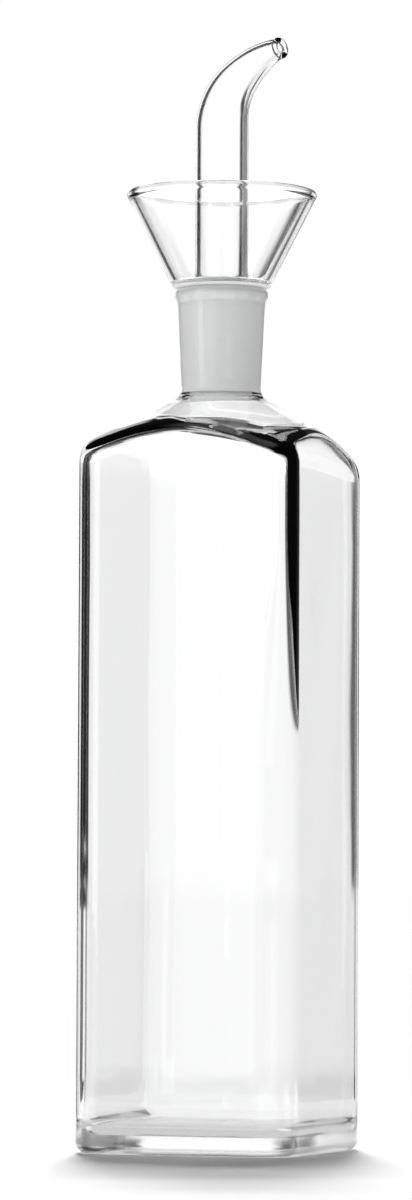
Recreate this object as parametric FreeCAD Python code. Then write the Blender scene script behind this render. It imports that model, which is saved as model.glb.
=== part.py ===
"""Square glass oil bottle with a ground-joint stopper that pours through a bent tube and catches drips.

Millimetres. +Z is up, the origin is the centre of the base on the table, and the bottle's flat
sides face X and Y. One STEP file is written for each worked piece of glass.
"""

import FreeCAD
import Part
import os
from math import cos, degrees, radians, sin, tan

# Bottle body
body_side = 57.8
corner_radius = 8.0
body_wall = 2.0
base_thickness = 4.6
base_edge_radius = 2.5
floor_round = 5.0
foot_width = 8.0
push_up_depth = 1.2

# Shoulder: a cone cut by the flat sides
shoulder_height = 177.44
shoulder_slope = 28.8
shoulder_round = 7.0
throat_round = 1.5

# Neck and ground joint, one part in ten on the diameter
joint_large_diameter = 18.8
joint_length = 26.0
joint_taper = 0.1
joint_clearance = 0.05
neck_wall = 1.75
neck_blend_radius = 4.0
lip_overhang = 0.7
lip_height = 3.3
lip_edge_radius = 0.9
lip_inner_radius = 0.4

# Stopper cone below the funnel
seat_gap = 0.5
cone_wall = 1.4
cone_tip_length = 4.5
cone_tip_relief = 0.25
cone_tip_round = 0.6

# Drip funnel: its floor stands out past the cone as a shelf over the lip
funnel_shelf = 2.7
funnel_rim_diameter = 47.7
funnel_half_angle = 27.0
funnel_wall = 1.7
funnel_floor = 1.7
funnel_base_round = 1.0
rim_bead_diameter = 2.2

# Pouring tube, drawn in below the funnel and bent to a spout above it
tube_diameter = 13.4
tube_wall = 1.2
drip_gap = 0.8
drain_gap = 1.4
draw_in_length = 6.0
draw_in_round = 3.0
tube_rise = 40.6
bend_radius = 15.0
bend_angle = 49.0
reach_radius = 30.3
reach_angle = 29.4
spout_diameter = 4.9
spout_wall = 0.9
spout_taper_power = 1.31
spout_lip_thickness = 1.5
spout_heading = -20.0

# Ring seal between tube and cone, open over one sector so that caught oil runs back
seal_thickness = 2.4
seal_recess = 0.8
seal_clearance = 0.05
drain_angle = 70.0

# Places worked out from the sizes above
half_side = body_side / 2
bore_radius_at_rim = joint_large_diameter / 2
half_taper = joint_taper / 2
slope = tan(radians(shoulder_slope))
neck_root = shoulder_height + slope * (half_side - bore_radius_at_rim - neck_wall) + neck_blend_radius / 3
rim_height = neck_root + joint_length
cone_top = rim_height + seat_gap
cone_tip = neck_root - cone_tip_length
tube_foot = cone_tip
bend_start = cone_top + tube_rise
past_everything = 3 * (bend_start + body_side)
loft_steps_per_bend = 5
loft_lead_in = 4.0
seam_tolerance = 0.0001

throat_radius = tube_diameter / 2 + drip_gap
tip_radius = bore_radius_at_rim - half_taper * joint_length - joint_clearance - cone_tip_relief
tip_inside = tip_radius - cone_wall
stem_radius = tip_inside - drain_gap

UP = FreeCAD.Vector(0, 0, 1)
ORIGIN = FreeCAD.Vector(0, 0, 0)


def bore_radius(z):
    """Radius of the ground neck at a height: it narrows downwards from the rim."""
    return bore_radius_at_rim - half_taper * (rim_height - z)


def shoulder_line(radius, depth=0.0):
    """Height of the shoulder cone at a radius, or of the same cone sunk by a depth of glass."""
    return shoulder_height + slope * (half_side - radius) - depth / cos(radians(shoulder_slope))


def meets_shoulder(offset, depth):
    """Point where the ground taper, moved outwards by an offset, runs into the shoulder cone."""
    at_rim = bore_radius_at_rim + offset
    top_of_cone = shoulder_line(0.0, depth)
    z = (top_of_cone - slope * (at_rim - half_taper * rim_height)) / (1 + slope * half_taper)
    return at_rim - half_taper * (rim_height - z), z


def rounded_outline(corners):
    """Closed face in the XZ plane. Each corner is (x, z, radius) and is rounded by a tangent arc."""
    points = [FreeCAD.Vector(x, 0, z) for x, z, _ in corners]
    starts, ends, middles = [], [], []
    for i, (_, _, radius) in enumerate(corners):
        here = points[i]
        back = (points[i - 1] - here).normalize()
        ahead = (points[(i + 1) % len(points)] - here).normalize()
        half = back.getAngle(ahead) / 2
        starts.append(here + back * (radius / tan(half)))
        ends.append(here + ahead * (radius / tan(half)))
        toward = (back + ahead).normalize() if radius else UP
        middles.append(here + toward * (radius / sin(half) - radius))
    edges = []
    for i, (_, _, radius) in enumerate(corners):
        if radius:
            edges.append(Part.Arc(starts[i], middles[i], ends[i]).toShape())
        following = starts[(i + 1) % len(corners)]
        if (following - ends[i]).Length > 1e-6:
            edges.append(Part.LineSegment(ends[i], following).toShape())
    return Part.Face(Part.Wire(edges))


def turned(corners, angle=360.0):
    """Solid of revolution about Z from an outline of (radius, height, rounding) corners."""
    return rounded_outline(corners).revolve(ORIGIN, UP, angle)


def square_prism(half, radius, low, high):
    """Upright square prism with rounded vertical corners."""
    block = Part.makeBox(2 * half, 2 * half, high - low, FreeCAD.Vector(-half, -half, low))
    upright = [e for e in block.Edges if e.BoundBox.ZLength > (high - low) / 2]
    return block.makeFillet(radius, upright)


def edges_round_square(shape, half, low, high):
    """Edges that run round the square between two heights."""
    found = []
    for edge in shape.Edges:
        box = edge.BoundBox
        reach = max(-box.XMin, box.XMax, -box.YMin, box.YMax)
        across = max(box.XLength, box.YLength)
        if low < box.ZMin and box.ZMax < high and reach > 0.99 * half and across > box.ZLength:
            found.append(edge)
    return found


def one_solid(shape):
    """The single solid of a shape, with needless seams taken out."""
    solids = shape.removeSplitter().Solids
    if len(solids) != 1:
        raise ValueError(f"expected one solid, found {len(solids)}")
    return solids[0]


def bottle_outside():
    """Outside of the bottle: a turned cone and neck cut by the rounded square."""
    root_radius, root_z = meets_shoulder(neck_wall, 0.0)
    lip_start = rim_height - lip_height
    lip_root = bore_radius(lip_start) + neck_wall
    lip_radius = lip_root + lip_overhang
    wide = 2 * body_side
    form = turned(
        [
            (0, 0, 0),
            (wide, 0, 0),
            (wide, shoulder_line(wide), 0),
            (root_radius, root_z, neck_blend_radius),
            (lip_root, lip_start, lip_overhang),
            (lip_radius, lip_start + 2 * lip_overhang, lip_overhang / 2),
            (lip_radius, rim_height, lip_edge_radius),
            (0, rim_height, 0),
        ]
    )
    shape = form.common(square_prism(half_side, corner_radius, 0, past_everything))
    shoulder_edges = edges_round_square(shape, half_side, base_thickness, rim_height)
    shape = shape.makeFillet(min(shoulder_round, 0.9 * corner_radius), shoulder_edges)
    foot_edges = edges_round_square(shape, half_side, -base_thickness, base_thickness)
    return shape.makeFillet(base_edge_radius, foot_edges)


def bottle_inside():
    """Space inside the bottle, up through the ground bore and out past the rim."""
    inner_half = half_side - body_wall
    inner_corner = corner_radius - body_wall
    root_radius, root_z = meets_shoulder(0.0, body_wall)
    wide = 2 * body_side
    above = rim_height + seat_gap
    form = turned(
        [
            (0, base_thickness, 0),
            (wide, base_thickness, 0),
            (wide, shoulder_line(wide, body_wall), 0),
            (root_radius, root_z, throat_round),
            (bore_radius(above), above, 0),
            (0, above, 0),
        ]
    )
    shape = form.common(square_prism(inner_half, inner_corner, 0, past_everything))
    shoulder_edges = edges_round_square(shape, inner_half, 2 * base_thickness, rim_height)
    shape = shape.makeFillet(min(shoulder_round - body_wall, 0.9 * inner_corner), shoulder_edges)
    floor_edges = edges_round_square(shape, inner_half, 0, 2 * base_thickness)
    return shape.makeFillet(min(floor_round, 0.9 * inner_corner), floor_edges)


def push_up():
    """Shallow dome pressed into the underside, so that the bottle stands on a flat ring."""
    radius = half_side - foot_width
    dome = (radius**2 + push_up_depth**2) / (2 * push_up_depth)
    return Part.makeSphere(dome, FreeCAD.Vector(0, 0, push_up_depth - dome))


def make_bottle():
    """Bottle glass, parted at the seam where the neck is fused to the shoulder."""
    glass = bottle_outside().cut(bottle_inside()).cut(push_up())
    wide = 2 * body_side
    below = Part.makeBox(2 * wide, 2 * wide, neck_root + wide, FreeCAD.Vector(-wide, -wide, -wide))
    body = one_solid(glass.common(below))
    neck = one_solid(glass.cut(below))
    mouth = [e for e in neck.Edges if e.BoundBox.ZMin > rim_height - 0.01]
    mouth.sort(key=lambda e: e.BoundBox.XLength)
    return {"bottle_body": body, "neck_socket": neck.makeFillet(lip_inner_radius, mouth[:1])}


def cone_radius(z):
    """Outer radius of the ground cone at a height."""
    return bore_radius(z) - joint_clearance


def make_ground_cone():
    """Hollow ground taper with a short, slimmer, fire-polished tip below the ground length."""
    step = neck_root - cone_tip_relief
    rounding = min(cone_tip_round, 0.45 * cone_wall)
    return turned(
        [
            (cone_radius(cone_top), cone_top, 0),
            (cone_radius(neck_root), neck_root, 0),
            (tip_radius, step, 0),
            (tip_radius, cone_tip, rounding),
            (tip_inside, cone_tip, rounding),
            (tip_inside, step, 0),
            (throat_radius, cone_top, 0),
        ]
    )


def make_drip_funnel():
    """Flared funnel on a flat floor, fused on top of the cone, with a thick round rim."""
    lean = radians(funnel_half_angle)
    base_radius = cone_radius(cone_top) + funnel_shelf
    bead_radius = rim_bead_diameter / 2
    bead_centre = funnel_rim_diameter / 2 - bead_radius
    wall_length = (bead_centre - base_radius + bead_radius * cos(lean)) / sin(lean)
    top_radius = base_radius + wall_length * sin(lean)
    top_z = cone_top + wall_length * cos(lean)
    floor_z = cone_top + funnel_floor
    floor_radius = base_radius - funnel_wall / cos(lean) + funnel_floor * tan(lean)
    wall = turned(
        [
            (throat_radius, cone_top, 0),
            (base_radius, cone_top, funnel_base_round),
            (top_radius, top_z, 0),
            (top_radius - funnel_wall * cos(lean), top_z + funnel_wall * sin(lean), 0),
            (floor_radius, floor_z, funnel_base_round),
            (throat_radius, floor_z, funnel_base_round / 2),
        ]
    )
    bead_z = top_z + bead_radius * sin(lean)
    bead = Part.makeTorus(bead_centre, bead_radius, FreeCAD.Vector(0, 0, bead_z), UP)
    return one_solid(wall.fuse(bead))


def spout_path():
    """Stations along the bent tube as (share of the bend, reach, height, tilt in degrees)."""
    first = radians(bend_angle)
    second = radians(reach_angle)
    length = bend_radius * first + reach_radius * second
    stations = [(0.0, 0.0, bend_start - lead, 0.0) for lead in (loft_lead_in, loft_lead_in / 2)]
    for i in range(loft_steps_per_bend + 1):
        tilt = first * i / loft_steps_per_bend
        reach = bend_radius * (1 - cos(tilt))
        z = bend_start + bend_radius * sin(tilt)
        share = bend_radius * tilt / length
        stations.append((share, reach, z, degrees(tilt)))
    _, knee_reach, knee_z, _ = stations[-1]
    for i in range(1, loft_steps_per_bend + 1):
        tilt = first + second * i / loft_steps_per_bend
        reach = knee_reach + reach_radius * (cos(first) - cos(tilt))
        z = knee_z + reach_radius * (sin(tilt) - sin(first))
        share = (bend_radius * first + reach_radius * (tilt - first)) / length
        stations.append((share, reach, z, degrees(tilt)))
    return stations


def spout_radius(share, inside):
    """Radius of the tube at a share of its bend, outside or inside the glass."""
    drawn = (tube_diameter - spout_diameter) / 2 * share**spout_taper_power
    wall = tube_wall + (spout_wall - tube_wall) * share
    return tube_diameter / 2 - drawn - (wall if inside else 0.0)


def ring_at(radius, reach, z, tilt):
    """Circular wire square to the tube's line where that leans by tilt towards +X."""
    ring = Part.Wire(Part.Circle(ORIGIN, UP, radius).toShape())
    ring.Placement = FreeCAD.Placement(
        FreeCAD.Vector(reach, 0, z), FreeCAD.Rotation(FreeCAD.Vector(0, 1, 0), tilt)
    )
    return ring


def tube_forms(inside):
    """Straight run and bend of the tube, solid to its outside or to its bore, leaning towards +X."""
    taken = tube_wall if inside else 0.0
    foot = tube_foot - (tube_wall if inside else 0.0)
    stem = stem_radius - taken
    full = tube_diameter / 2 - taken
    loft_start = bend_start - loft_lead_in
    straight = turned(
        [
            (0, foot, 0),
            (stem, foot, 0),
            (stem, rim_height - draw_in_length, draw_in_round),
            (full, rim_height, draw_in_round),
            (full, loft_start, 0),
            (0, loft_start, 0),
        ]
    )
    rings = [ring_at(spout_radius(s, inside), reach, z, tilt) for s, reach, z, tilt in spout_path()]
    return straight, Part.makeLoft(rings, True, False)


def make_pouring_tube():
    """Bent tube with an even bore, a drawn-in stem below and a rounded lip at the spout."""
    _, reach, z, tilt = spout_path()[-1]
    lip_radius = spout_diameter / 2 - spout_wall / 2
    lip = Part.makeTorus(lip_radius, spout_lip_thickness / 2, ORIGIN, UP)
    lip.Placement = FreeCAD.Placement(
        FreeCAD.Vector(reach, 0, z), FreeCAD.Rotation(FreeCAD.Vector(0, 1, 0), tilt)
    )
    straight, bend = tube_forms(False)
    straight_bore, bend_bore = tube_forms(True)
    spout = bend.cut(bend_bore).fuse(lip)
    tube = one_solid(straight.cut(straight_bore).fuse([spout], seam_tolerance))
    tube.rotate(ORIGIN, UP, spout_heading)
    return tube


def make_ring_seal():
    """Part ring between the stem and the cone's tip, open on the side away from the spout."""
    inner = stem_radius + seal_clearance
    outer = tip_inside - seal_clearance
    low = cone_tip + seal_recess
    high = low + seal_thickness
    corners = [(inner, low, 0), (outer, low, 0), (outer, high, 0), (inner, high, 0)]
    seal = turned(corners, 360.0 - drain_angle)
    seal.rotate(ORIGIN, UP, spout_heading + 180 + drain_angle / 2)
    return seal


def main():
    os.makedirs("parts", exist_ok=True)
    pieces = make_bottle()
    pieces["ground_cone"] = make_ground_cone()
    pieces["drip_funnel"] = make_drip_funnel()
    pieces["pouring_tube"] = make_pouring_tube()
    pieces["ring_seal"] = make_ring_seal()
    for name, shape in pieces.items():
        shape.exportStep(f"parts/{name}.step")
        print(f"{name}: {shape.Volume / 1000:.2f} cm3, valid {shape.isValid()}")


main()
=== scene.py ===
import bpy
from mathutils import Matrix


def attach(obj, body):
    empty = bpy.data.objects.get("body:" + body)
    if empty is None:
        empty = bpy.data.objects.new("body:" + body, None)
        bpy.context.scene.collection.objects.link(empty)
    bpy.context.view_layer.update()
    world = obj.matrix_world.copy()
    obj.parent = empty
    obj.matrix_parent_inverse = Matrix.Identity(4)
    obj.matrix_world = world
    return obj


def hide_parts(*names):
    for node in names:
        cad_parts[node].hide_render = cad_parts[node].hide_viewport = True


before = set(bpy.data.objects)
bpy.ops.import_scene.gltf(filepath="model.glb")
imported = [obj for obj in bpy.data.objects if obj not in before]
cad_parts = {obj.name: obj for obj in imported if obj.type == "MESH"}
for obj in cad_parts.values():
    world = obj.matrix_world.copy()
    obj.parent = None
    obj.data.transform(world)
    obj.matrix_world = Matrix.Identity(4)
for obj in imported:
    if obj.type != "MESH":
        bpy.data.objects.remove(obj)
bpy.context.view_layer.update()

from math import radians

import bpy
import numpy as np
from mathutils import Matrix, Vector

# Sizes in millimetres, as in the part's source. Meshes are written in metres.
PER_METRE = 1000
HALF_SIDE, CORNER, WALL = 28.9, 8.0, 2.0
BASE, FOOT_ROUND, FLOOR_ROUND, FOOT_WIDTH, PUSH_UP = 4.6, 2.5, 5.0, 8.0, 1.2
SHOULDER_Z, SLOPE, SHOULDER_ROUND, THROAT_ROUND = 177.44, radians(28.8), 7.0, 1.5
BORE_TOP, HALF_TAPER, JOINT, NECK_WALL, NECK_BLEND = 9.4, 0.05, 26.0, 1.75, 4.0
LIP_OUT, LIP_TALL, LIP_ROUND, MOUTH_ROUND = 0.7, 3.3, 0.9, 0.4
SEAT_GAP, CONE_PLAY, CONE_WALL = 0.5, 0.05, 1.4
TIP_LENGTH, TIP_RELIEF, TIP_ROUND, TIP_STEP_ROUND, TIP_HOLLOW_ROUND = 4.5, 0.25, 0.6, 0.1, 4.0
SHELF, RIM, LEAN, FUNNEL_WALL, FUNNEL_FLOOR, BEAD = 2.7, 23.85, radians(27), 1.7, 1.7, 1.1
BEAD_EASE, SHELF_ROUND, DRAIN_EDGE_LOW, DRAIN_EDGE_HIGH = 1.2, 1.0, 0.3, 0.5
TUBE, TUBE_WALL, DRIP_GAP, DRAIN_GAP, DRAW_IN, DRAW_ROUND = 6.7, 1.2, 0.8, 1.4, 6.0, 3.0
RISE, BEND, BEND_TURN, REACH, REACH_TURN = 40.6, 15.0, radians(49), 30.3, radians(29.4)
SPOUT, SPOUT_WALL, SPOUT_POWER, SPOUT_LIP, HEADING = 2.45, 0.9, 1.31, 0.75, radians(-20)
SEAL_THICK, SEAL_UP, SEAL_PLAY, SEAL_ROUND, DRAIN = 2.4, 0.8, 0.05, 0.3, radians(70)

# Meshes: the gap that keeps touching faces apart, how far an outline runs on past a crossing before it
# is cut or joined, and the angle from which an edge stays sharp
HAIRLINE, RUN_ON, SHARP = 0.01, 4.0, radians(38)

# Uneven glass of the body. The shoulder leans (lift at the axis, fall per millimetre to the right, where
# the lean starts and how far it takes to grow), its inside sags (all round, at the near and the left
# corner, and how far the near sag moves to the neck), and the near corner's inner rounding goes from one
# value to another between two heights.
VIEW_TURN = radians(21.0)
NEAR, LEFT = -np.pi / 4, -3 * np.pi / 4
LEAN_LIFT, LEAN_FALL, LEAN_FROM, LEAN_GROWS = 0.5, 0.036, 13, 15
SAG, SAG_NEAR, NEAR_WIDTH, SAG_LEFT, LEFT_WIDTH, SAG_SHIFT = 0.45, 2.0, 0.6, 1.0, 0.5, 0.45
INNER_ROUND = 5.5
NEAR_HEIGHTS, NEAR_ROUNDS = (97, 150), (8.0, 3.0)
# Sway of the inside: depth, share of the second wave, heights per radian and starts of the waves, and
# the heights over which it fades in and out below its top
SWAY, SECOND_WAVE, SWAY_IN, SWAY_OUT, SWAY_TOP = 0.05, 0.7, 25, 20, 165
WAVE_PITCH, WAVE_START = (31, 23, 17), (1.1, 0.4)

# Dull skin of the moulded base: heights in metres between which it ends, and its roughness
MOULDED, MOULD_DULL = (0.004, 0.013), 0.18

# Light: strengths, the suns' heights and width in degrees, and how far they stand left of the view line
FLOOR_LIGHT, EVEN_LIGHT, LIGHT_IN_GLASS, FLOOR_GLOW = 3.20, 0.16, 1.55, 0.04
SUN_HEIGHTS, SUN_WIDTH, SUN_ASIDE = (55, 64, 75), 7, 1.0
# Grey that glass sees at (degrees to the right of straight behind, grey), low and high above the horizon
# and on the floor farther off
FRONT = [(-180, 0.1), (-168, 0.1), (-155, 0.9), (-115, 0.9), (-100, 0.03)]
RIGHT = [(34, 0.3), (58, 0.25), (70, 0.03), (180, 0.1)]
SIDES_LOW = FRONT + [(-21, 0.015), (-14, 1.05), (7, 1.05), (10, 0.07), (24, 0.07)] + RIGHT
SIDES_HIGH = FRONT + [(-30, 0.02), (-24, 1.28), (11, 1.28), (15, 0.03)] + RIGHT
FLOOR_FAR = FRONT + [(-92, 0.05), (-86, 1), (-54, 1), (-48, 0.05), (-30, 0.05), (-26, 1), (27, 1)]
FLOOR_FAR += [(31, 0.05), (34, 0.05), (40, 0.35), (58, 0.3), (70, 0.05), (140, 0.05)]
FLOOR_FAR += [(148, 1), (164, 1), (172, 0.1), (180, 0.1)]
# A brighter strip in the front window, and the shading of the light that matt glass gets
STRIP, STRIP_LIGHT = [(-132, 0), (-128, 1), (-119, 1), (-115, 0)], 2.0
SHADED = [(-180, 1.25), (-155, 1.4), (-110, 1.2), (-40, 1.0)]
SHADED += [(20, 0.9), (90, 0.7), (140, 0.8), (180, 1.25)]
# Heights of the direction at which one band of the room gives way to the next, and the two top greys
HORIZON, HIGH_BAND, BACKDROP_TOP, CEILING = (-0.004, 0.004), (0.066, 0.098), (0.47, 0.53), (0.90, 0.96)
OVER_BACKDROP, CEILING_LIGHT = 0.03, 0.8
# Painted light and shade that glass sees on the floor near the bottle, white lanes in metres: (direction
# square to the lane in degrees, half width), the lane along the view, how each widens, the soft edge and
# the painted dark grey beside them
LANES, LANE_SPREAD = [(45, 0.045), (135, 0.045), (0, 0.034), (90, 0.034)], 0.05
VIEW_LANE, VIEW_LANE_SPREAD, LANE_EDGE, LANE_DARK = 0.03, 0.20, 0.014, 0.05
# The grey square of painted shade under the bottle that glass sees, where the lanes give way to the far floor,
# and the floor itself
FOOTPRINT, FOOT_SHADE_GREY, LANES_END, FLOOR_HALF, FLOOR_GREY = 0.0275, 0.62, (0.55, 0.68), 8.0, 0.8

# Camera in metres: distance from the axis, height, and the point it looks at, to the left of the axis and
# above the base; its roll, and its focal length as a share of the picture's height
FAR, EYE, AIM_LEFT, AIM_UP, ROLL = 1.420, 0.0645, 0.0035, 0.137, radians(0.25)
SENSOR, FOCAL_PIXELS, PICTURE_PIXELS = 36.0, 5700, 1200

TAN_SLOPE = np.tan(SLOPE)
NECK_ROOT = SHOULDER_Z + TAN_SLOPE * (HALF_SIDE - BORE_TOP - NECK_WALL) + NECK_BLEND / 3
MOUTH = NECK_ROOT + JOINT
SEAT = MOUTH + SEAT_GAP
CONE_TIP = NECK_ROOT - TIP_LENGTH
BEND_Z = SEAT + RISE
THROAT = TUBE + DRIP_GAP
TIP = BORE_TOP - HALF_TAPER * JOINT - CONE_PLAY - TIP_RELIEF
STEM = TIP - CONE_WALL - DRAIN_GAP


def bore(z):
    """Radius of the ground neck: it narrows by one part in twenty downwards from the mouth."""
    return BORE_TOP - HALF_TAPER * (MOUTH - z)


def shoulder_height(radius, depth=0.0):
    """Height of the shoulder cone over a radius, lowered by a depth of glass measured square to it."""
    return SHOULDER_Z + TAN_SLOPE * (HALF_SIDE - radius) - depth / np.cos(SLOPE)


def neck_meets_shoulder(offset, depth):
    """Radius and height where the taper, moved out by an offset, crosses the shoulder cone."""
    rim = BORE_TOP + offset
    rise = shoulder_height(0.0, depth) - TAN_SLOPE * (rim - HALF_TAPER * MOUTH)
    z = rise / (1 + TAN_SLOPE * HALF_TAPER)
    return rim - HALF_TAPER * (MOUTH - z), z


def rounded_run(corners, closed=False, arc=9, step=1.5):
    """Outline through (radius, height, rounding) corners: each corner gives way to a circular arc
    tangent to both its sides, and the straight stretches between the arcs are divided evenly."""
    c = np.array(corners, float)
    p = c[:, :2]
    back = np.roll(p, 1, 0) - p
    ahead = np.roll(p, -1, 0) - p
    back /= np.linalg.norm(back, axis=1)[:, None]
    ahead /= np.linalg.norm(ahead, axis=1)[:, None]
    half = np.arccos(np.clip((back * ahead).sum(1), -1, 1)) / 2
    reach = c[:, 2] / np.tan(half)
    if not closed:
        reach[[0, -1]] = 0
    start, end = p + back * reach[:, None], p + ahead * reach[:, None]
    pieces = []
    for i in range(len(c)):
        if reach[i] > 0:
            inward = back[i] + ahead[i]
            middle = p[i] + inward / np.linalg.norm(inward) * c[i, 2] / np.sin(half[i])
            a, b = start[i] - middle, end[i] - middle
            turn = np.arccos(np.clip(a @ b / c[i, 2] ** 2, -1, 1))
            t = np.linspace(0, 1, arc)[:, None]
            pieces.append(middle + (np.sin((1 - t) * turn) * a + np.sin(t * turn) * b) / np.sin(turn))
        else:
            pieces.append(p[i : i + 1])
        if closed or i < len(c) - 1:
            following = start[(i + 1) % len(c)]
            count = int(np.linalg.norm(following - end[i]) / step)
            share = (np.arange(1, count + 1) / (count + 1))[:, None]
            pieces.append(end[i] + (following - end[i]) * share)
    path = np.concatenate(pieces)
    gap = np.linalg.norm(np.diff(path, axis=0), axis=1)
    return path[np.concatenate([[True], gap > 1e-6])]


def turned(outline, columns=128):
    """Each outline point (radius, height) is carried round the Z axis on a circle."""
    t = np.linspace(0, 2 * np.pi, columns, endpoint=False)
    r, z = outline[:, :1], outline[:, 1:]
    return np.stack([r * np.cos(t), r * np.sin(t), z + 0 * t], -1)


def square_radius(angle, half, corner):
    """Distance from the axis to a square with rounded corners, in the direction of an angle: the flat
    side's distance over the larger of cosine and sine, or the far crossing with the corner's circle."""
    c, s = np.abs(np.cos(angle)), np.abs(np.sin(angle))
    centre = half - corner
    flat = half / np.maximum(c, s)
    under = corner**2 - centre**2 * (c - s) ** 2
    arc = centre * (c + s) + np.sqrt(np.maximum(under, 0))
    return np.where(flat * np.minimum(c, s) <= centre, flat, arc)


def square_columns(on_corner=48, on_side=20):
    """Angles round the square: evenly spaced along each corner's arc and along each flat side."""
    centre = HALF_SIDE - CORNER
    t = np.linspace(0, np.pi / 2, on_corner)
    corner = np.arctan2(centre + CORNER * np.sin(t), centre + CORNER * np.cos(t))
    side = np.arctan2(HALF_SIDE, np.linspace(centre, -centre, on_side + 2)[1:-1])
    quarter = np.concatenate([corner, side])
    return np.concatenate([quarter + k * np.pi / 2 for k in range(4)])


def skin(name, grid, body, node, poles=False, ground=None):
    """Closed mesh over a grid of points whose columns join round. The rows join round too, or end in
    one point each where poles is set. ground marks the rows of faces that take the ground finish."""
    rows, columns = grid.shape[:2]
    across = np.arange(columns)
    beside = (across + 1) % columns
    if poles:
        points = np.concatenate([grid[0, :1], grid[1:-1].reshape(-1, 3), grid[-1, :1]])
        first = 1 + np.arange(rows - 3)[:, None] * columns
        second = first + columns
        last = len(points) - 1
        bottom = np.stack([0 * across, 1 + beside, 1 + across], -1)
        top = np.stack([0 * across + last, last - columns + across, last - columns + beside], -1)
        fans = np.concatenate([bottom, top])
    else:
        points = grid.reshape(-1, 3)
        first = np.arange(rows)[:, None] * columns
        second = (np.arange(rows)[:, None] + 1) % rows * columns
        fans = np.zeros((0, 3), int)
    quads = [first + across, first + beside, second + beside, second + across]
    faces = np.stack(quads, -1).reshape(-1, 4)
    a, b, c, d = (points[faces[:, k]] for k in range(4))
    volume = (np.cross(a, b) * c).sum() + (np.cross(a, c) * d).sum()
    if volume < 0:
        faces, fans = faces[:, ::-1], fans[:, ::-1]
    mesh = bpy.data.meshes.new(name)
    mesh.from_pydata((points / PER_METRE).tolist(), [], faces.tolist() + fans.tolist())
    mesh.materials.append(FINISH["clear_glass"])
    mesh.materials.append(FINISH["ground_glass"])
    if ground is not None:
        kind = np.zeros(len(mesh.polygons), np.int32)
        kind[: len(faces)] = np.repeat(ground, columns)
        mesh.polygons.foreach_set("material_index", kind)
    mesh.polygons.foreach_set("use_smooth", np.ones(len(mesh.polygons), bool))
    mesh.set_sharp_from_angle(angle=SHARP)
    piece = bpy.data.objects.new(name, mesh)
    bpy.context.collection.objects.link(piece)
    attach(piece, body)
    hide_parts(node)
    return piece


def shoulder_to_seam(clear=0.02):
    """Outline from the shoulder cone up the blend to the mouth's taper, cut at the seam into the stretch
    that belongs to the shoulder and the stretch that belongs to the neck."""
    root, root_z = neck_meets_shoulder(NECK_WALL, 0.0)
    start = root + RUN_ON
    lip_z = MOUTH - LIP_TALL
    line = rounded_run(
        [
            (start, shoulder_height(start), 0),
            (root, root_z, NECK_BLEND),
            (bore(lip_z) + NECK_WALL, lip_z, 0),
        ],
        arc=25,
    )
    cut = np.array([[np.interp(NECK_ROOT, line[:, 1], line[:, 0]), NECK_ROOT]])
    low = line[line[:, 1] < NECK_ROOT - clear]
    high = line[line[:, 1] > NECK_ROOT + clear]
    return np.concatenate([low, cut]), np.concatenate([cut, high])


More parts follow.
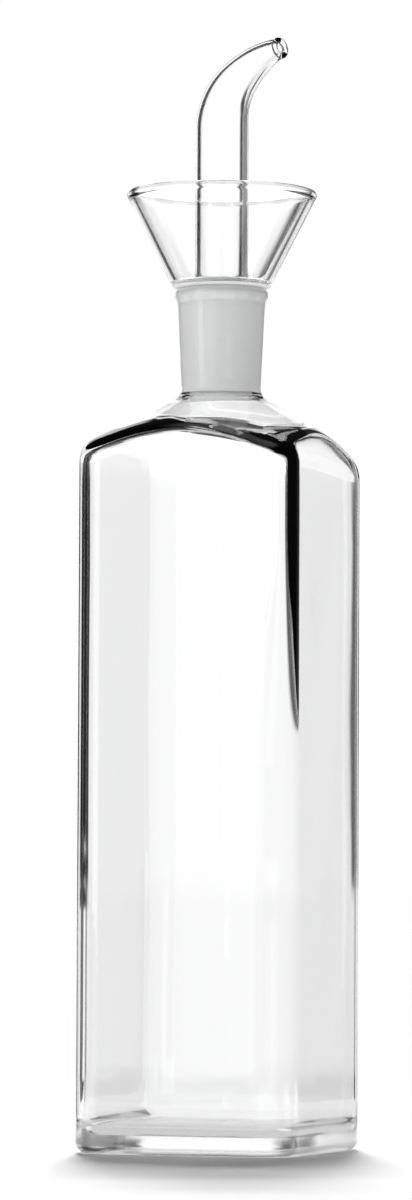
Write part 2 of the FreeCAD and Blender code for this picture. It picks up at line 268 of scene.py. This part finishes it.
def bottle_shell():
    """Square shell as (distance from the axis, height) for each angle: push-up dome, foot, rounded edge,
    wall, shoulder arc tangent to wall and cone, cone and neck blend; then back down the inside, where
    the same lines are moved in by the wall, to the floor. The glass is uneven: the shoulder is tilted,
    its inside hangs lower by a half wave between neck and wall, the near corner's inner rounding grows
    downwards, and the inside sways by a few hundredths of a millimetre in slow sines."""
    angle = square_columns()
    size = np.ones_like(angle)
    rho, high = [], []

    def rows(radius, z):
        rho.append(np.broadcast_to(radius, (len(radius), len(angle))))
        high.append(np.broadcast_to(z, (len(z), len(angle))))

    def along(count, first=1):
        return np.linspace(0, 1, count)[first:, None]

    def off(middle):
        """Angle from a direction, between minus and plus half a turn."""
        return (angle - middle + np.pi) % (2 * np.pi) - np.pi

    def bell(middle, width):
        """Bell curve round the bottle, 1 at its middle angle."""
        return np.exp(-((off(middle) / width) ** 2))

    def leaning(radius):
        """Lift of the uneven shoulder: it rises to the left of the near side, none at the neck."""
        to_right = radius * np.cos(angle - VIEW_TURN)
        return (LEAN_LIFT - LEAN_FALL * to_right) * np.clip((radius - LEAN_FROM) / LEAN_GROWS, 0, 1)

    def up_the_side(outer, round_, top, low):
        """Wall from a height up to the knee, and the arc from there to the shoulder cone."""
        turn = np.pi / 2 - SLOPE
        knee = top - round_ * np.tan(turn / 2)
        f = along(44)
        wall = (outer + 0 * f, low + f * (knee + leaning(outer) - low))
        t = along(18) * turn
        radius = outer - round_ * (1 - np.cos(t))
        return wall, (radius, knee + round_ * np.sin(t) + leaning(radius))

    foot_radius = HALF_SIDE - FOOT_WIDTH
    dome = (foot_radius**2 + PUSH_UP**2) / (2 * PUSH_UP)
    f = along(12, 0)
    rows(f * foot_radius * size, PUSH_UP - dome + np.sqrt(dome**2 - (f * foot_radius) ** 2))
    f = along(5)
    foot_edge = square_radius(angle, HALF_SIDE - FOOT_ROUND, CORNER - FOOT_ROUND)
    rows((1 - f) * foot_radius + f * foot_edge, 0 * f)
    t = along(11) * np.pi / 2
    inset = FOOT_ROUND * (1 - np.sin(t))
    rows(square_radius(angle, HALF_SIDE - inset, CORNER - inset), FOOT_ROUND * (1 - np.cos(t)))

    outer = square_radius(angle, HALF_SIDE, CORNER)
    wall, arc = up_the_side(outer, SHOULDER_ROUND, shoulder_height(outer), FOOT_ROUND)
    rows(*wall)
    rows(*arc)
    seam = shoulder_to_seam()[0]
    f = along(14)
    cone = (1 - f) * arc[0][-1] + f * seam[0, 0]
    rows(cone, shoulder_height(cone) + leaning(cone))
    rows(seam[1:, :1] * size, seam[1:, 1:] - HAIRLINE * (seam[1:, 1:] == NECK_ROOT))

    inner_half, inner_corner = HALF_SIDE - WALL, CORNER - WALL
    near = np.abs(off(NEAR)) < np.pi / 4

    def inner_radius(z):
        """Inside distance from the axis: the near corner's glass is thin above and thick below."""
        here = np.interp(z, NEAR_HEIGHTS, NEAR_ROUNDS)
        return square_radius(angle, inner_half, np.where(near, here, inner_corner))

    throat, throat_z = neck_meets_shoulder(0.0, WALL)
    far = throat + RUN_ON
    inner = inner_radius(np.full((1, 1), SHOULDER_Z))[0]
    sag = SAG + SAG_NEAR * bell(NEAR, NEAR_WIDTH) + SAG_LEFT * bell(LEFT, LEFT_WIDTH)
    power = 1 - SAG_SHIFT * bell(NEAR, NEAR_WIDTH)

    def sagging(radius):
        """Extra glass inside the shoulder: a half wave from the neck to the wall, 0 at both."""
        share = np.clip((radius - far) / (inner - far), 0, 1)
        return sag * np.sin(np.pi * share**power)

    hole = rounded_run(
        [
            (bore(NECK_ROOT), NECK_ROOT - HAIRLINE, 0),
            (throat, throat_z, THROAT_ROUND),
            (far, shoulder_height(far, WALL), 0),
        ]
    )
    rows(hole[:, :1] * size, hole[:, 1:])
    floor_top = BASE + FLOOR_ROUND
    wall, arc = up_the_side(inner, INNER_ROUND, shoulder_height(inner, WALL), floor_top)
    f = along(24)[:-1]
    cone = (1 - f) * far + f * arc[0][-1]
    rows(cone, shoulder_height(cone, WALL) - sagging(cone) + leaning(cone))
    rows(arc[0][::-1], (arc[1] - sagging(arc[0]))[::-1])
    z = wall[1][::-1]
    sway = np.sin(3 * angle + z / WAVE_PITCH[0]) * np.sin(z / WAVE_PITCH[1] + WAVE_START[0])
    sway = sway + SECOND_WAVE * np.sin(5 * angle - z / WAVE_PITCH[2] + WAVE_START[1])
    fade = np.clip((z - floor_top) / SWAY_IN, 0, 1) * np.clip((SWAY_TOP - z) / SWAY_OUT, 0, 1)
    rows(inner_radius(z) + SWAY * sway * fade, z)
    low_corner = np.where(near, NEAR_ROUNDS[0], inner_corner)
    t = (1 - along(13)) * np.pi / 2
    inset = FLOOR_ROUND * (1 - np.sin(t))
    rows(square_radius(angle, inner_half - inset, low_corner - inset), BASE + FLOOR_ROUND * (1 - np.cos(t)))
    f = 1 - along(12)
    rows(f * square_radius(angle, inner_half - FLOOR_ROUND, low_corner - FLOOR_ROUND), BASE + 0 * f)

    radius, z = np.concatenate(rho), np.concatenate(high)
    grid = np.stack([radius * np.cos(angle), radius * np.sin(angle), z], -1)
    return skin("bottle_shell", grid, "bottle", "bottle_body", poles=True)


def neck():
    """Turned ring: neck blend, outer taper, flared lip with a rounded edge, and the ground bore inside."""
    seam = shoulder_to_seam()[1]
    lip_z = MOUTH - LIP_TALL
    root = bore(lip_z) + NECK_WALL
    lip = rounded_run(
        [
            (*seam[-2], 0),
            (root, lip_z, LIP_OUT),
            (root + LIP_OUT, lip_z + 2 * LIP_OUT, LIP_OUT / 2),
            (root + LIP_OUT, MOUTH, LIP_ROUND),
            (BORE_TOP, MOUTH, MOUTH_ROUND),
            (bore(NECK_ROOT), NECK_ROOT, 0),
        ],
        arc=11,
    )
    outline = np.concatenate([seam[:-2], lip])
    on_bore = np.abs(outline[:, 0] - bore(outline[:, 1])) < 1e-3
    ground = on_bore & np.roll(on_bore, -1)
    return skin("neck", turned(outline), "bottle", "neck_socket", ground=ground)


def stopper_cone():
    """Turned ring: taper a hair narrower than the bore, slimmer tip with a rounded end, plain inside. All
    of its outside is ground."""
    step = NECK_ROOT - TIP_RELIEF
    top = SEAT - HAIRLINE
    outline = rounded_run(
        [
            (bore(top) - CONE_PLAY, top, 0),
            (bore(NECK_ROOT) - CONE_PLAY, NECK_ROOT, TIP_STEP_ROUND),
            (TIP, step, TIP_STEP_ROUND),
            (TIP, CONE_TIP, TIP_ROUND),
            (TIP - CONE_WALL, CONE_TIP, TIP_ROUND),
            (TIP - CONE_WALL, step, TIP_HOLLOW_ROUND),
            (THROAT, top, 0),
        ],
        closed=True,
    )
    outside = outline[:, 0] > TIP - TIP_ROUND
    ground = outside & np.roll(outside, -1)
    return skin("stopper_cone", turned(outline), "stopper", "ground_cone", ground=ground)


def catch_funnel(ground_over=0.05, edge=(0.4, 0.5)):
    """Turned ring: flat shelf, wall leaning out, a round bead whose circle is tangent to the wall's
    outside and blends into its inside, and the floor with its rounded drain edge. The foot is ground."""
    base = bore(SEAT) - CONE_PLAY + SHELF
    middle = np.array([RIM - BEAD, 0.0])
    length = (middle[0] - base + BEAD * np.cos(LEAN)) / np.sin(LEAN)
    middle[1] = SEAT + length * np.cos(LEAN) + BEAD * np.sin(LEAN)
    out, up = np.array([np.cos(LEAN), -np.sin(LEAN)]), np.array([np.sin(LEAN), np.cos(LEAN)])
    inside = BEAD - FUNNEL_WALL
    rise = -np.sqrt((BEAD + BEAD_EASE) ** 2 - (inside - BEAD_EASE) ** 2)
    stop = np.arctan2(rise, inside - BEAD_EASE)
    t = np.linspace(0, 2 * np.pi + stop, 40)[:, None]
    bead = middle + BEAD * (np.cos(t) * out + np.sin(t) * up)
    t = np.linspace(stop + np.pi, 0, 9)[1:, None]
    hollow = middle + (inside - BEAD_EASE + BEAD_EASE * np.cos(t)) * out + (rise + BEAD_EASE * np.sin(t)) * up
    floor_z = SEAT + FUNNEL_FLOOR
    floor_radius = base - FUNNEL_WALL / np.cos(LEAN) + FUNNEL_FLOOR * np.tan(LEAN)
    lower = rounded_run(
        [
            (THROAT, SEAT + edge[0], 0),
            (THROAT, SEAT, DRAIN_EDGE_LOW),
            (base, SEAT, SHELF_ROUND),
            (*bead[0], 0),
        ]
    )
    upper = rounded_run(
        [
            (*hollow[-1], 0),
            (floor_radius, floor_z, SHELF_ROUND),
            (THROAT, floor_z, DRAIN_EDGE_HIGH),
            (THROAT, SEAT + edge[1], 0),
        ]
    )
    outline = np.concatenate([lower[:-1], bead, hollow[:-1], upper])
    low = outline[:, 1] < floor_z + ground_over
    ground = low & np.roll(low, -1)
    grid = turned(outline, columns=160)
    return skin("catch_funnel", grid, "stopper", "drip_funnel", ground=ground)


def spout_line(share):
    """Reach, height and lean of the bent tube at a share of its bend: a circular arc, then a wider one."""
    turn = (BEND * BEND_TURN + REACH * REACH_TURN) * share
    first = np.minimum(turn / BEND, BEND_TURN)
    lean = first + np.maximum(turn - BEND * BEND_TURN, 0) / REACH
    reach = BEND * (1 - np.cos(first)) + REACH * (np.cos(first) - np.cos(lean))
    height = BEND_Z + BEND * np.sin(first) + REACH * (np.sin(lean) - np.sin(first))
    return reach, height, lean


def pouring_tube():
    """Rings carried along the tube's line, each square to it: up the outside, over a round lip whose
    section is a circle, down the bore and round the foot, whose section is a half circle. The outside
    narrows with the share of the bend to a power."""

    def stem_line(taken):
        """Outline of the straight stem and tube, moved in by a depth of glass."""
        return rounded_run(
            [
                (STEM - taken, CONE_TIP, 0),
                (STEM - taken, MOUTH - DRAW_IN, DRAW_ROUND),
                (TUBE - taken, MOUTH, DRAW_ROUND),
                (TUBE - taken, BEND_Z, 0),
            ],
            step=2.0,
        )

    share = np.linspace(0, 1, 49)[1:-2]
    reach, height, lean = spout_line(share)
    outer = TUBE - (TUBE - SPOUT) * share**SPOUT_POWER
    inner = outer - (TUBE_WALL + (SPOUT_WALL - TUBE_WALL) * share)
    out, back = stem_line(0.0), stem_line(TUBE_WALL)[::-1]
    foot_round = TUBE_WALL / 2
    foot_z = CONE_TIP + foot_round
    out[0, 1] = back[-1, 1] = foot_z
    tip_reach, tip_z, tip_lean = (float(v) for v in spout_line(np.float64(1)))
    t = np.linspace(-0.30 * np.pi, 1.30 * np.pi, 26)
    lip_radius, lip_up = SPOUT - SPOUT_WALL / 2 + SPOUT_LIP * np.cos(t), SPOUT_LIP * np.sin(t)
    foot = np.linspace(0, np.pi, 9)[1:-1]
    foot_radius = STEM - foot_round - foot_round * np.cos(foot)
    up, down, level = 0 * out[:, 0], 0 * back[:, 0], 0 * foot
    radius = np.concatenate([out[:, 0], outer, lip_radius, inner[::-1], back[:, 0], foot_radius])
    lip_x, lip_z = tip_reach + lip_up * np.sin(tip_lean), tip_z + lip_up * np.cos(tip_lean)
    centre_x = np.concatenate([up, reach, lip_x, reach[::-1], down, level])
    foot_line = foot_z - foot_round * np.sin(foot)
    centre_z = np.concatenate([out[:, 1], height, lip_z, height[::-1], back[:, 1], foot_line])
    turn = np.concatenate([up, lean, 0 * t + tip_lean, lean[::-1], down, level])
    a = np.linspace(0, 2 * np.pi, 96, endpoint=False)
    side, along = radius[:, None] * np.cos(a), radius[:, None] * np.sin(a)
    x = centre_x[:, None] + side * np.cos(turn)[:, None]
    z = centre_z[:, None] - side * np.sin(turn)[:, None]
    c, s = np.cos(HEADING), np.sin(HEADING)
    grid = np.stack([x * c - along * s, x * s + along * c, z], -1)
    return skin("pouring_tube_glass", grid, "stopper", "pouring_tube")


def seal_web(end_fill=0.85, columns=73):
    """Rounded section carried round part of a circle between stem and cone tip, closed to a point at
    each end of the drain opening."""
    inner, outer = STEM + SEAL_PLAY, TIP - CONE_WALL - SEAL_PLAY
    low = CONE_TIP + SEAL_UP
    high = low + SEAL_THICK
    corners = [(inner, low), (outer, low), (outer, high), (inner, high)]
    section = rounded_run([(*corner, SEAL_ROUND) for corner in corners], closed=True, step=0.6)
    middle = section.mean(0)
    spread = np.linspace(0, 1, columns)[:, None]
    t = HEADING + np.pi + DRAIN / 2 + (2 * np.pi - DRAIN) * spread
    fill = np.concatenate([[0.0, end_fill], np.ones(columns - 4), [end_fill, 0.0]])[:, None]
    radius = middle[0] + fill * (section[:, 0] - middle[0])
    z = middle[1] + fill * (section[:, 1] - middle[1])
    grid = np.stack([radius * np.cos(t), radius * np.sin(t), z], -1)
    return skin("seal_web", grid, "stopper_seal", "ring_seal", poles=True)


def ramp(tree, value, stops):
    """Grey scale over a share of a circle, through (degrees to the right of straight behind, grey) stops."""
    node = tree.nodes.new("ShaderNodeValToRGB")
    scale = node.color_ramp
    while len(scale.elements) < len(stops):
        scale.elements.new(0.5)
    for element, (degrees, grey) in zip(scale.elements, stops):
        element.position = 0.5 + degrees / 360
        element.color = (grey, grey, grey, 1)
    tree.links.new(value, node.inputs["Fac"])
    return node.outputs["Color"]


def sums(tree, operation, first, second=None, third=None):
    """One Math node; numbers are set on its sockets and other nodes' outputs are linked to them."""
    node = tree.nodes.new("ShaderNodeMath")
    node.operation = operation
    for socket, value in zip(node.inputs, (first, second, third)):
        if isinstance(value, (int, float)):
            socket.default_value = value
        elif value is not None:
            tree.links.new(value, socket)
    return node.outputs[0]


def smooth(tree, value, low, high):
    """0 below low, 1 above high and an S-shaped step between them."""
    node = tree.nodes.new("ShaderNodeMapRange")
    node.interpolation_type = "SMOOTHSTEP"
    node.inputs["From Min"].default_value = low
    node.inputs["From Max"].default_value = high
    tree.links.new(value, node.inputs["Value"])
    return node.outputs["Result"]


def blend(tree, share, first, second):
    """Colour that goes from the first to the second as the share goes from 0 to 1."""
    node = tree.nodes.new("ShaderNodeMix")
    node.data_type = "RGBA"
    for name, value in (("Factor", share), ("A", first), ("B", second)):
        socket = node.inputs[name]
        if isinstance(value, (int, float)):
            socket.default_value = value if socket.type == "VALUE" else (value, value, value, 1)
        elif isinstance(value, tuple):
            socket.default_value = (*value, 1)
        else:
            tree.links.new(value, socket)
    return node.outputs["Result"]


def vector_sum(tree, operation, vector, other=None):
    """One Vector Math node on a vector and, where it takes one, a fixed second vector."""
    node = tree.nodes.new("ShaderNodeVectorMath")
    node.operation = operation
    tree.links.new(vector, node.inputs[0])
    if other is not None:
        node.inputs[1].default_value = other
    return node


def parts(tree, vector):
    """The X, Y and Z of a vector."""
    split = tree.nodes.new("ShaderNodeSeparateXYZ")
    tree.links.new(vector, split.inputs[0])
    return split.outputs


def compass(tree, direction):
    """Turn round the vertical as a share of a circle, 0.5 straight behind the bottle as the camera sees
    it and growing to the right, and the height of the direction."""
    x, y, z = parts(tree, direction)
    c, s = float(np.cos(VIEW_TURN)), float(np.sin(VIEW_TURN))
    right = sums(tree, "ADD", sums(tree, "MULTIPLY", x, c), sums(tree, "MULTIPLY", y, s))
    ahead = sums(tree, "SUBTRACT", sums(tree, "MULTIPLY", y, c), sums(tree, "MULTIPLY", x, s))
    turn = sums(tree, "ARCTAN2", right, ahead)
    return sums(tree, "MULTIPLY_ADD", turn, 1 / (2 * np.pi), 0.5), z


def worked_glass():
    """Shared node group for blown and drawn glass, read in Object coordinates. Ripple is a height of slow
    waves, Haze is a mask of faint wipe marks and Grain is a fine noise."""
    group = bpy.data.node_groups.new("worked_glass", "ShaderNodeTree")
    group.interface.new_socket("Vector", in_out="INPUT", socket_type="NodeSocketVector")
    for name in ("Wave Size", "Grain Size"):
        group.interface.new_socket(name, in_out="INPUT", socket_type="NodeSocketFloat")
    for name in ("Ripple", "Haze", "Grain"):
        group.interface.new_socket(name, in_out="OUTPUT", socket_type="NodeSocketFloat")
    given = group.nodes.new("NodeGroupInput").outputs
    wanted = group.nodes.new("NodeGroupOutput").inputs

    def noise(scale, detail, roughness):
        node = group.nodes.new("ShaderNodeTexNoise")
        node.inputs["Detail"].default_value = detail
        node.inputs["Roughness"].default_value = roughness
        group.links.new(given["Vector"], node.inputs["Vector"])
        if isinstance(scale, (int, float)):
            node.inputs["Scale"].default_value = scale
        else:
            group.links.new(scale, node.inputs["Scale"])
        return node.outputs["Fac"]

    marks = noise(scale=38.0, detail=6.0, roughness=0.7)
    group.links.new(noise(given["Wave Size"], detail=1.5, roughness=0.4), wanted["Ripple"])
    group.links.new(noise(given["Grain Size"], detail=3.0, roughness=0.6), wanted["Grain"])
    group.links.new(smooth(group, marks, low=0.52, high=0.78), wanted["Haze"])
    return group


def glass(name, shared, colour, roughness, transmission, wave, grain):
    """Principled glass with a plain transmission, and the shared group placed with its own sizes. Where a
    socket is linked later, the value set here stays on the socket unused."""
    material = bpy.data.materials.new(name)
    material.use_nodes = True
    tree = material.node_tree
    surface = tree.nodes["Principled BSDF"]
    surface.inputs["Base Color"].default_value = (*colour, 1)
    surface.inputs["Roughness"].default_value = roughness
    surface.inputs["IOR"].default_value = 1.5
    surface.inputs["Transmission Weight"].default_value = transmission
    place = tree.nodes.new("ShaderNodeTexCoord").outputs["Object"]
    detail = tree.nodes.new("ShaderNodeGroup")
    detail.node_tree = shared
    detail.inputs["Wave Size"].default_value = wave
    detail.inputs["Grain Size"].default_value = grain
    tree.links.new(place, detail.inputs["Vector"])
    return material, tree, surface, detail.outputs, parts(tree, place)["Z"]


def bump(tree, surface, height, strength, depth):
    """Bump node on the surface's normal, its depth in metres."""
    node = tree.nodes.new("ShaderNodeBump")
    node.inputs["Strength"].default_value = strength
    node.inputs["Distance"].default_value = depth
    tree.links.new(height, node.inputs["Height"])
    tree.links.new(node.outputs["Normal"], surface.inputs["Normal"])


def clear_glass(shared, wipe_dull=0.02):
    """Fire-polished glass: slow ripples, faint wipe marks that dull the polish a little, and the duller
    skin that the mould leaves at the base."""
    material, tree, surface, detail, z = glass(
        "clear_glass", shared, (0.988, 0.99, 0.99), roughness=0.0, transmission=1.0, wave=45.0, grain=400.0
    )
    moulded = sums(tree, "SUBTRACT", 1.0, smooth(tree, z, *MOULDED))
    dull = sums(tree, "MULTIPLY", detail["Haze"], wipe_dull)
    dull = sums(tree, "MULTIPLY_ADD", moulded, MOULD_DULL, dull)
    tree.links.new(dull, surface.inputs["Roughness"])
    bump(tree, surface, detail["Ripple"], strength=0.25, depth=0.0004)
    return material


def ground_glass(shared, rings_per_metre=9000.0, wander=3.0, ring_depth=0.25):
    """Ground joint: a fine grain, rings left by the grinding and a patchy, nearly white colour."""
    material, tree, surface, detail, z = glass(
        "ground_glass", shared, (0.95, 0.96, 0.96), roughness=0.6, transmission=0.0, wave=90.0, grain=1800.0
    )
    level = sums(tree, "MULTIPLY", z, rings_per_metre)
    rings = sums(tree, "SINE", sums(tree, "MULTIPLY_ADD", detail["Ripple"], wander, level))
    colour = blend(tree, detail["Grain"], (0.91, 0.915, 0.915), (0.98, 0.985, 0.985))
    tree.links.new(colour, surface.inputs["Base Color"])
    rough = sums(tree, "MULTIPLY_ADD", detail["Grain"], 0.3, 0.4)
    tree.links.new(rough, surface.inputs["Roughness"])
    height = sums(tree, "MULTIPLY_ADD", rings, ring_depth, detail["Grain"])
    bump(tree, surface, height, strength=0.4, depth=0.00008)
    return material


def off_lane(tree, place, away, square_to, half, spread):
    """How far a floor point lies outside a lane through the origin, which widens with the distance away
    from there by its spread; negative inside it. The lane is given by the direction square to it."""
    normal = (np.cos(square_to), np.sin(square_to), 0)
    across = vector_sum(tree, "DOT_PRODUCT", place, normal).outputs["Value"]
    outside = sums(tree, "SUBTRACT", sums(tree, "ABSOLUTE", across), half)
    return sums(tree, "MULTIPLY_ADD", away, -spread, outside)


def floor_paint():
    """White floor that keeps the shadow. To glass it glows instead with painted light and shade: dark at
    the sides, near the foot white in lanes through the bottle's axis, and farther off in the directions of the
    far ramp."""
    material = bpy.data.materials.new("floor_white")
    material.use_nodes = True
    tree = material.node_tree
    surface = tree.nodes["Principled BSDF"]
    surface.inputs["Base Color"].default_value = (FLOOR_GREY, FLOOR_GREY, FLOOR_GREY, 1)
    surface.inputs["Roughness"].default_value = 1.0
    surface.inputs["Specular IOR Level"].default_value = 0.0
    surface.inputs["Emission Color"].default_value = (1, 1, 1, 1)
    surface.inputs["Emission Strength"].default_value = FLOOR_GLOW
    path = tree.nodes.new("ShaderNodeLightPath").outputs
    spot = tree.nodes.new("ShaderNodeTexCoord").outputs["Object"]
    away = vector_sum(tree, "LENGTH", spot).outputs["Value"]
    outside = off_lane(tree, spot, away, VIEW_TURN, VIEW_LANE, VIEW_LANE_SPREAD)
    for square_to, half in LANES:
        lane = off_lane(tree, spot, away, radians(square_to), half, LANE_SPREAD)
        outside = sums(tree, "MINIMUM", outside, lane)
    near = blend(tree, smooth(tree, outside, 0.0, LANE_EDGE), 1.0, LANE_DARK)
    x, y, _ = parts(tree, vector_sum(tree, "ABSOLUTE", spot).outputs["Vector"])
    # Glass sees a grey square of painted shade on the floor under the bottle
    under = sums(tree, "LESS_THAN", sums(tree, "MAXIMUM", x, y), FOOTPRINT)
    near = blend(tree, under, near, FOOT_SHADE_GREY)
    far = ramp(tree, compass(tree, spot)[0], FLOOR_FAR)
    # Emission that glass sees instead of the lit floor: painted light and shade
    room = tree.nodes.new("ShaderNodeEmission")
    seen = blend(tree, smooth(tree, away, *LANES_END), near, far)
    tree.links.new(seen, room.inputs["Color"])
    plain = sums(tree, "ADD", path["Is Camera Ray"], path["Is Diffuse Ray"])
    mix = tree.nodes.new("ShaderNodeMixShader")
    for socket, value in zip(mix.inputs, (plain, room.outputs[0], surface.outputs[0])):
        tree.links.new(value, socket)
    tree.links.new(mix.outputs[0], tree.nodes["Material Output"].inputs["Surface"])
    return material


def room_light():
    """World: white to the camera, and to matt surfaces an even light, stronger and shaded to the right
    where it comes through glass. Glass sees the room in bands: the far floor below the horizon, above it
    a white backdrop that is wider higher up, with dark sides and a front window with a brighter strip,
    then darkness over the backdrop and a pale ceiling."""
    world = bpy.data.worlds.new("studio")
    bpy.context.scene.world = world
    world.use_nodes = True
    tree = world.node_tree
    path = tree.nodes.new("ShaderNodeLightPath").outputs
    place = tree.nodes.new("ShaderNodeTexCoord")
    turn, height = compass(tree, place.outputs["Generated"])
    low = blend(tree, smooth(tree, height, *HORIZON), ramp(tree, turn, FLOOR_FAR), ramp(tree, turn, SIDES_LOW))
    room = blend(tree, smooth(tree, height, *HIGH_BAND), low, ramp(tree, turn, SIDES_HIGH))
    room = sums(tree, "MULTIPLY_ADD", ramp(tree, turn, STRIP), STRIP_LIGHT, room)
    room = blend(tree, smooth(tree, height, *BACKDROP_TOP), room, OVER_BACKDROP)
    room = blend(tree, smooth(tree, height, *CEILING), room, CEILING_LIGHT)
    matt = sums(tree, "GREATER_THAN", path["Diffuse Depth"], 0.5)
    through = sums(tree, "GREATER_THAN", path["Transmission Depth"], 0.5)
    shaded = sums(tree, "MULTIPLY", through, ramp(tree, turn, SHADED))
    even = sums(tree, "MULTIPLY_ADD", shaded, LIGHT_IN_GLASS - EVEN_LIGHT, EVEN_LIGHT)
    room = blend(tree, matt, room, even)
    room = blend(tree, path["Is Camera Ray"], room, 1.0)
    tree.links.new(room, tree.nodes["Background"].inputs["Color"])


def studio():
    """Floor, room and a row of suns behind the bottle, one over another, which throw its shadow forwards."""
    mesh = bpy.data.meshes.new("floor")
    corners = [(-1, -1), (1, -1), (1, 1), (-1, 1)]
    mesh.from_pydata([(x * FLOOR_HALF, y * FLOOR_HALF, 0) for x, y in corners], [], [(0, 1, 2, 3)])
    mesh.materials.append(floor_paint())
    floor = bpy.data.objects.new("floor", mesh)
    bpy.context.collection.objects.link(floor)
    room_light()
    turn = VIEW_TURN + radians(SUN_ASIDE)
    for number, height in enumerate(SUN_HEIGHTS):
        light = bpy.data.lights.new(f"back_light_{number}", "SUN")
        light.angle = radians(SUN_WIDTH)
        light.energy = FLOOR_LIGHT / len(SUN_HEIGHTS) / np.sin(radians(height))
        light.cycles.use_multiple_importance_sampling = False
        lamp = bpy.data.objects.new(light.name, light)
        bpy.context.collection.objects.link(lamp)
        place = Vector((-np.sin(turn), np.cos(turn), np.tan(radians(height))))
        look = (-place).to_track_quat("-Z", "Y").to_matrix().to_4x4()
        lamp.matrix_world = Matrix.Translation(place) @ look


def camera():
    """Camera at the photograph's angle: turned to the right, a little above the base and tilted up."""
    lens = bpy.data.cameras.new("camera")
    lens.sensor_width = SENSOR
    lens.lens = SENSOR * FOCAL_PIXELS / PICTURE_PIXELS
    seen = bpy.data.objects.new("camera", lens)
    bpy.context.collection.objects.link(seen)
    c, s = np.cos(VIEW_TURN), np.sin(VIEW_TURN)
    place = Vector((FAR * s, -FAR * c, EYE))
    aim = Vector((-AIM_LEFT * c, -AIM_LEFT * s, AIM_UP))
    look = (aim - place).to_track_quat("-Z", "Y").to_matrix().to_4x4()
    seen.matrix_world = Matrix.Translation(place) @ look @ Matrix.Rotation(ROLL, 4, "Z")
    bpy.context.scene.camera = seen


worked = worked_glass()
FINISH = {"clear_glass": clear_glass(worked), "ground_glass": ground_glass(worked)}
bottle_shell()
neck()
stopper_cone()
catch_funnel()
pouring_tube()
seal_web()
studio()
camera()
bpy.context.scene.view_settings.view_transform = "Standard"
